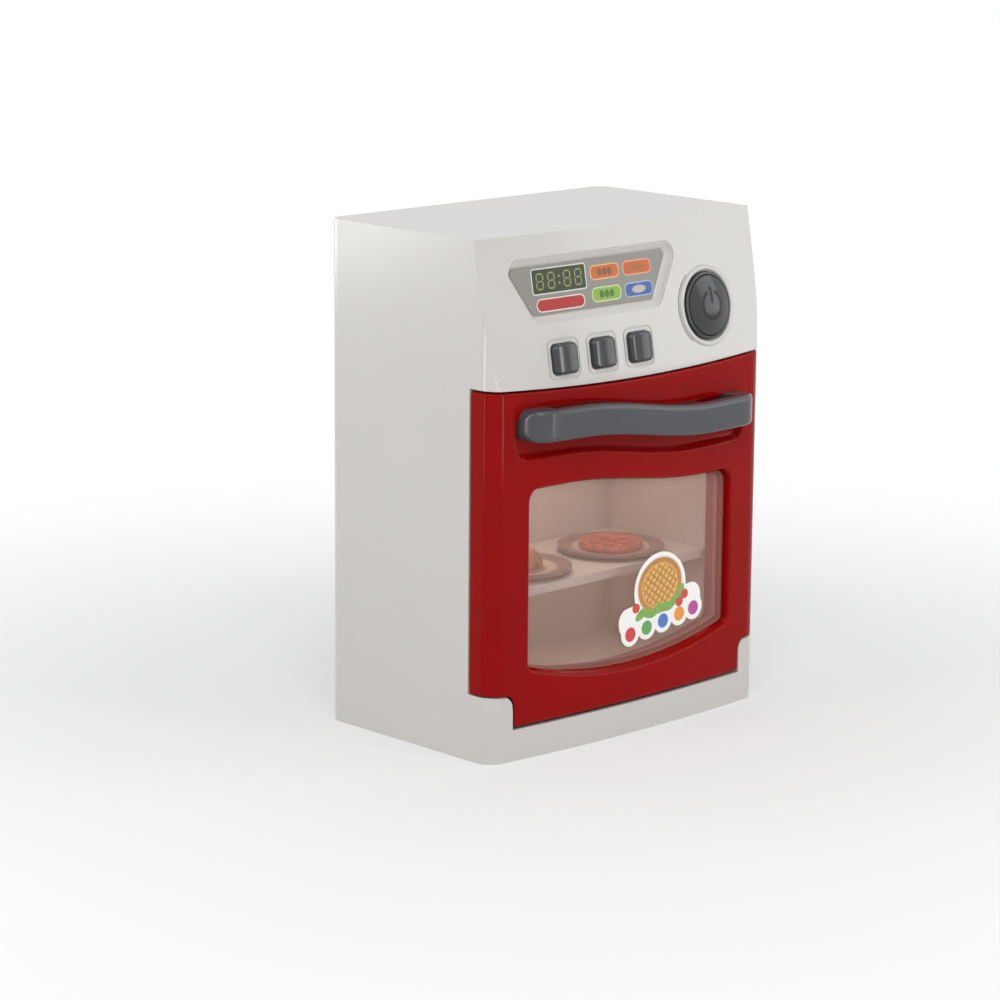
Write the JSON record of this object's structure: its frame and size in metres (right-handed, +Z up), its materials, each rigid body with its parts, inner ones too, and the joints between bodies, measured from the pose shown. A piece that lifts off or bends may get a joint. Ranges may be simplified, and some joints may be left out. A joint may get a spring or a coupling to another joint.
{
  "type": "toy oven",
  "caption": "Free-standing play oven for small children, with a drop-down windowed door, bowed handle, leaning panel with push buttons, shelf with play food, and battery power.",
  "frame": {"origin": "middle of the footprint, on the surface that the oven stands on", "axes": "+Z up along the oven's height, -Y out of the door, +X to the right of someone who faces the door"},
  "size_m": [0.129, 0.0912, 0.172],
  "materials": {
    "white_plastic": "glossy moulded",
    "red_plastic": "high gloss moulded",
    "grey_plastic": "glossy moulded",
    "tinted_window": "clear tinted",
    "sticker": "printed vinyl",
    "panel_label": "printed vinyl",
    "steel": "bright",
    "spring_steel": "bright drawn wire",
    "nickel_contact": "nickel plated",
    "battery_can": "wrapped",
    "board_green": "solder mask",
    "black_plastic": "moulded",
    "lens_plastic": "frosted",
    "led": "clear",
    "plate_plastic": "moulded",
    "brown_food": "moulded",
    "red_food": "moulded",
    "wire_red": "soft sheath",
    "wire_black": "soft sheath",
    "wire_white": "soft sheath"
  },
  "bodies": {
    "casing": {"front_casing": "white_plastic", "rear_casing": "white_plastic", "casing_screws": "steel", "oven_liner": "white_plastic", "liner_screws": "steel", "shelf": "white_plastic", "plate_left": "plate_plastic", "plate_right": "plate_plastic", "food_left": "brown_food", "food_right": "red_food", "hinge_pins": "steel", "display_label": "panel_label", "spring_left": "spring_steel", "spring_middle": "spring_steel", "spring_right": "spring_steel", "spring_power": "spring_steel", "control_board": "board_green", "push_switches": "black_plastic", "board_screws": "steel", "lamp_lens": "lens_plastic", "lamp": "led", "speaker": "black_plastic", "speaker_ring": "black_plastic", "speaker_screws": "steel", "batteries": "battery_can", "battery_springs": "spring_steel", "battery_contacts": "nickel_contact", "battery_wires": "wire_red", "speaker_wires": "wire_black", "lamp_wires": "wire_white"},
    "door": {"door_shell": "red_plastic", "door_frame": "red_plastic", "window_pane": "tinted_window", "window_sticker": "sticker", "handle": "grey_plastic", "handle_screws": "steel", "door_screws": "steel"},
    "button_left": {"button_left": "grey_plastic"},
    "button_middle": {"button_middle": "grey_plastic"},
    "button_right": {"button_right": "grey_plastic"},
    "power_button": {"power_button": "grey_plastic"},
    "battery_cover_body": {"battery_cover": "white_plastic", "cover_screw": "steel"}
  },
  "joints": [
    {"name": "door_hinge", "type": "hinge", "parent": "casing", "child": "door", "pos_m": [0, -0.0311, 0.0174], "axis": [1, 0, 0], "range_deg": [0, 90]},
    {"name": "button_left_press", "type": "slide", "parent": "casing", "child": "button_left", "axis": [0, 0.9848, -0.1736], "range_m": [0, 0.0012], "stiffness_N_per_m": 1200, "deforming": ["spring_left"]},
    {"name": "button_middle_press", "type": "slide", "parent": "casing", "child": "button_middle", "axis": [0, 0.9848, -0.1736], "range_m": [0, 0.0012], "stiffness_N_per_m": 1200, "deforming": ["spring_middle"]},
    {"name": "button_right_press", "type": "slide", "parent": "casing", "child": "button_right", "axis": [0, 0.9848, -0.1736], "range_m": [0, 0.0012], "stiffness_N_per_m": 1200, "deforming": ["spring_right"]},
    {"name": "power_button_press", "type": "slide", "parent": "casing", "child": "power_button", "axis": [0, 0.9848, -0.1736], "range_m": [0, 0.0012], "stiffness_N_per_m": 1200, "deforming": ["spring_power"]},
    {"name": "battery_cover_slide", "type": "slide", "parent": "casing", "child": "battery_cover_body", "axis": [0, 1, 0], "range_m": [0, 0.03]}
  ]
}
